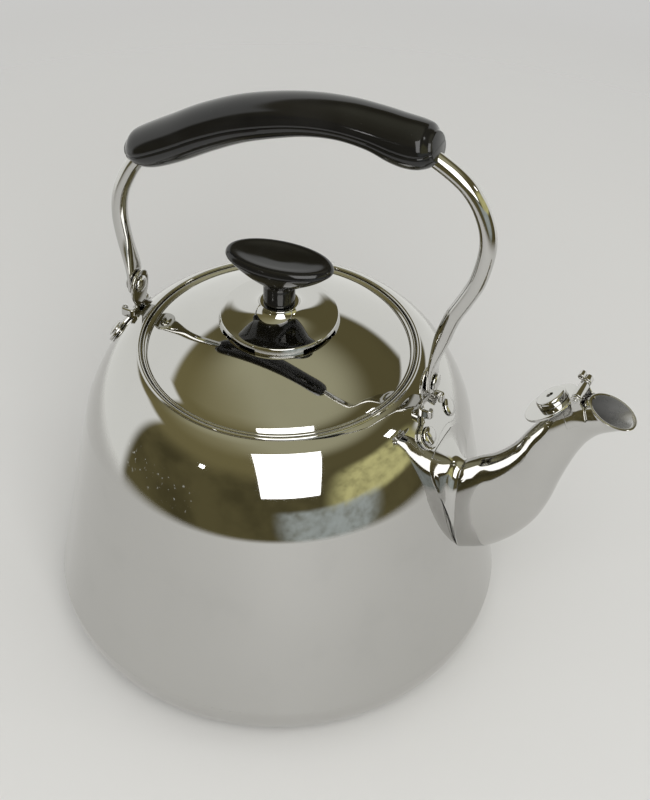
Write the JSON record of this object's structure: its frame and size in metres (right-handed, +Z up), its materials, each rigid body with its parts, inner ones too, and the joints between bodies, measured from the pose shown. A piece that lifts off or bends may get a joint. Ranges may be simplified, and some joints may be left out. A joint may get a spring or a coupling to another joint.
{
  "type": "kettle",
  "caption": "Polished stainless steel kettle with a swan-neck spout and flap whistle, a lift-off domed lid with a black oval knob, and a folding bail handle with a black grip.",
  "frame": {"origin": "centre of the flat face the kettle stands on", "axes": "+X runs out from the body's axis along the spout, +Z is up, and +Y completes a right-handed frame (the bail's pivots lie on a line along X)"},
  "size_m": [0.2829, 0.22, 0.3038],
  "materials": {
    "polished_steel": "mirror-polished stainless steel sheet",
    "plain_steel": "plain stainless steel, unpolished",
    "bakelite": "glossy black moulded phenolic",
    "brass": "turned brass"
  },
  "bodies": {
    "vessel": {"body_shell": "polished_steel", "base_pan": "polished_steel", "spout_root": "polished_steel", "spout_neck": "polished_steel", "ear_front": "polished_steel", "ear_rear": "polished_steel", "ear_rivet_front_near": "polished_steel", "ear_rivet_front_far": "polished_steel", "ear_rivet_rear_near": "polished_steel", "ear_rivet_rear_far": "polished_steel", "whistle_saddle": "polished_steel"},
    "lid": {"lid_dome": "polished_steel", "lid_locating_ring": "plain_steel", "knob_base": "polished_steel", "knob": "bakelite", "knob_insert": "brass", "knob_screw": "plain_steel", "knob_washer": "plain_steel"},
    "bail": {"bail_tube": "polished_steel", "grip_upper": "bakelite", "grip_lower": "bakelite", "grip_screw_rear": "plain_steel", "grip_screw_front": "plain_steel", "pivot_rivet_front": "polished_steel", "pivot_rivet_rear": "polished_steel"},
    "whistle": {"whistle_cover": "polished_steel", "whistle_cup": "polished_steel", "whistle_pin": "plain_steel", "whistle_tab": "polished_steel"}
  },
  "joints": [
    {"name": "bail_hinge", "type": "hinge", "parent": "vessel", "child": "bail", "pos_m": [0, 0, 0.1705], "axis": [1, 0, 0], "range_deg": [-110, 110]},
    {"name": "lid_lift", "type": "slide", "parent": "vessel", "child": "lid", "axis": [0, 0, 1], "range_m": [0, 0.04]},
    {"name": "whistle_flap", "type": "hinge", "parent": "vessel", "child": "whistle", "pos_m": [0.14663, 0, 0.19165], "axis": [0, 1, 0], "range_deg": [0, 237]}
  ]
}
